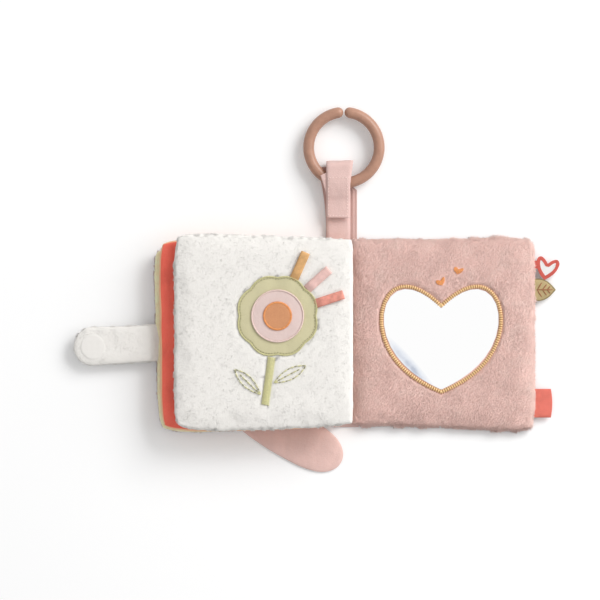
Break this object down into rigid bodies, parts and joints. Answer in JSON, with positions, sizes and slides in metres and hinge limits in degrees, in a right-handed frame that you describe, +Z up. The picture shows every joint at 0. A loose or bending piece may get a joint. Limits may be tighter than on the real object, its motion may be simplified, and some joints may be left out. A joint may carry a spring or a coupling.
{
  "type": "soft cloth activity book",
  "caption": "Soft padded cloth book that opens like a real one, with a heart mirror page, fabric tabs, a closing strap and a ring to hang it by.",
  "frame": {"origin": "on the floor under the spine, midway along it, where the back cover's root seam stands", "axes": "+X across the open spread towards the mirror page, +Y up the page towards the ring, +Z up from the floor"},
  "size_m": [0.3647, 0.2739, 0.0311],
  "materials": {
    "pink_plush": "short soft pile",
    "white_fleece": "short curly pile",
    "coral_velvet": "velvet",
    "peach_fabric": "matt weave",
    "leaf_green": "short soft pile",
    "pink_velvet": "velvet",
    "ochre_fabric": "matt weave",
    "coral_ribbon": "smooth ribbon",
    "pink_ribbon": "smooth ribbon",
    "orange_thread": "embroidery thread",
    "hook_and_loop": "hook and loop tape",
    "padding": "wadding",
    "mirror": "mirror film",
    "ring_plastic": "satin"
  },
  "bodies": {
    "book": {"back_cover_inner_panel": "pink_plush", "back_cover_padding": "padding", "back_cover_outer_panel": "pink_plush", "mirror_film": "mirror", "mirror_stitch_border": "orange_thread", "small_heart_right": "orange_thread", "small_heart_left": "orange_thread", "closure_loop_patch": "hook_and_loop", "spine_strip": "pink_velvet", "spine_binding_tape": "pink_velvet"},
    "heart_tab_body": {"heart_tab": "white_fleece"},
    "leaf_tab_body": {"leaf_tab": "leaf_green"},
    "label_tab_body": {"label_tab": "coral_ribbon"},
    "front_cover": {"front_cover_inner_panel": "leaf_green", "front_cover_padding": "padding", "front_cover_outer_panel": "pink_plush"},
    "petal_flap": {"petal_front_layer": "pink_velvet", "petal_back_layer": "pink_velvet"},
    "closure_root": {"closure_strap_root": "white_fleece"},
    "closure_tip": {"closure_strap_tip": "white_fleece", "closure_hook_dot": "hook_and_loop"},
    "red_leaf": {"red_leaf_front_panel": "coral_velvet", "red_leaf_padding": "padding", "red_leaf_back_panel": "peach_fabric", "red_leaf_hinge_tape": "peach_fabric"},
    "white_leaf": {"white_leaf_front_panel": "white_fleece", "white_leaf_padding": "padding", "white_leaf_back_panel": "white_fleece", "white_leaf_hinge_tape": "white_fleece", "flower_patch": "leaf_green", "flower_ring_patch": "pink_velvet", "flower_centre_patch": "ochre_fabric", "flower_stem": "leaf_green", "ribbon_coral": "coral_ribbon", "ribbon_pink": "pink_ribbon", "ribbon_ochre": "ochre_fabric"},
    "hanging_strap": {"strap_back_run": "pink_velvet", "strap_front_run": "pink_velvet", "strap_loop_pad": "hook_and_loop"},
    "strap_tab_body": {"strap_tab": "pink_velvet", "strap_hook_pad": "hook_and_loop"},
    "ring_body": {"ring": "ring_plastic"}
  },
  "joints": [
    {"name": "cover_hinge", "type": "hinge", "parent": "book", "child": "front_cover", "pos_m": [-0.005, 0, 0.01965], "axis": [0, 1, 0], "range_deg": [0, 180]},
    {"name": "red_leaf_hinge", "type": "hinge", "parent": "front_cover", "child": "red_leaf", "pos_m": [-0.005, 0, 0.01965], "axis": [0, -1, 0], "range_deg": [-88, 0]},
    {"name": "white_leaf_hinge", "type": "hinge", "parent": "red_leaf", "child": "white_leaf", "pos_m": [-0.005, 0, 0.01965], "axis": [0, -1, 0], "range_deg": [-88, 0]},
    {"name": "closure_root_fold", "type": "hinge", "parent": "front_cover", "child": "closure_root", "pos_m": [-0.15007, -0.0072, 0.0092], "axis": [0, 1, 0], "range_deg": [0, 90]},
    {"name": "closure_tip_fold", "type": "hinge", "parent": "closure_root", "child": "closure_tip", "pos_m": [-0.18167, -0.0104, 0.0092], "axis": [0, 1, 0], "range_deg": [0, 90]},
    {"name": "petal_flap_lift", "type": "hinge", "parent": "front_cover", "child": "petal_flap", "pos_m": [-0.1006, -0.04913, 0.0028], "axis": [0.4695, 0.8829, 0], "range_deg": [0, 140]},
    {"name": "hanging_strap_swing", "type": "hinge", "parent": "book", "child": "hanging_strap", "pos_m": [-0.0125, 0.0773, 0.0012], "axis": [1, 0, 0], "range_deg": [-80, 65]},
    {"name": "strap_tab_open", "type": "hinge", "parent": "hanging_strap", "child": "strap_tab_body", "pos_m": [-0.0125, 0.1253, 0.0003], "axis": [-1, 0, 0], "range_deg": [0, 110]},
    {"name": "ring_spin", "type": "hinge", "parent": "hanging_strap", "child": "ring_body", "pos_m": [-0.00825, 0.1395, 0.0065], "axis": [0, 0, 1], "continuous": true},
    {"name": "heart_tab_bend", "type": "hinge", "parent": "book", "child": "heart_tab_body", "pos_m": [0.13576, 0.0482, 0.0042], "axis": [0, -1, 0], "range_deg": [0, 45]},
    {"name": "leaf_tab_bend", "type": "hinge", "parent": "book", "child": "leaf_tab_body", "pos_m": [0.13568, 0.0326, 0.0042], "axis": [0, -1, 0], "range_deg": [0, 45]},
    {"name": "label_tab_bend", "type": "hinge", "parent": "book", "child": "label_tab_body", "pos_m": [0.1357, -0.0527, 0.0042], "axis": [0, -1, 0], "range_deg": [0, 45]}
  ]
}
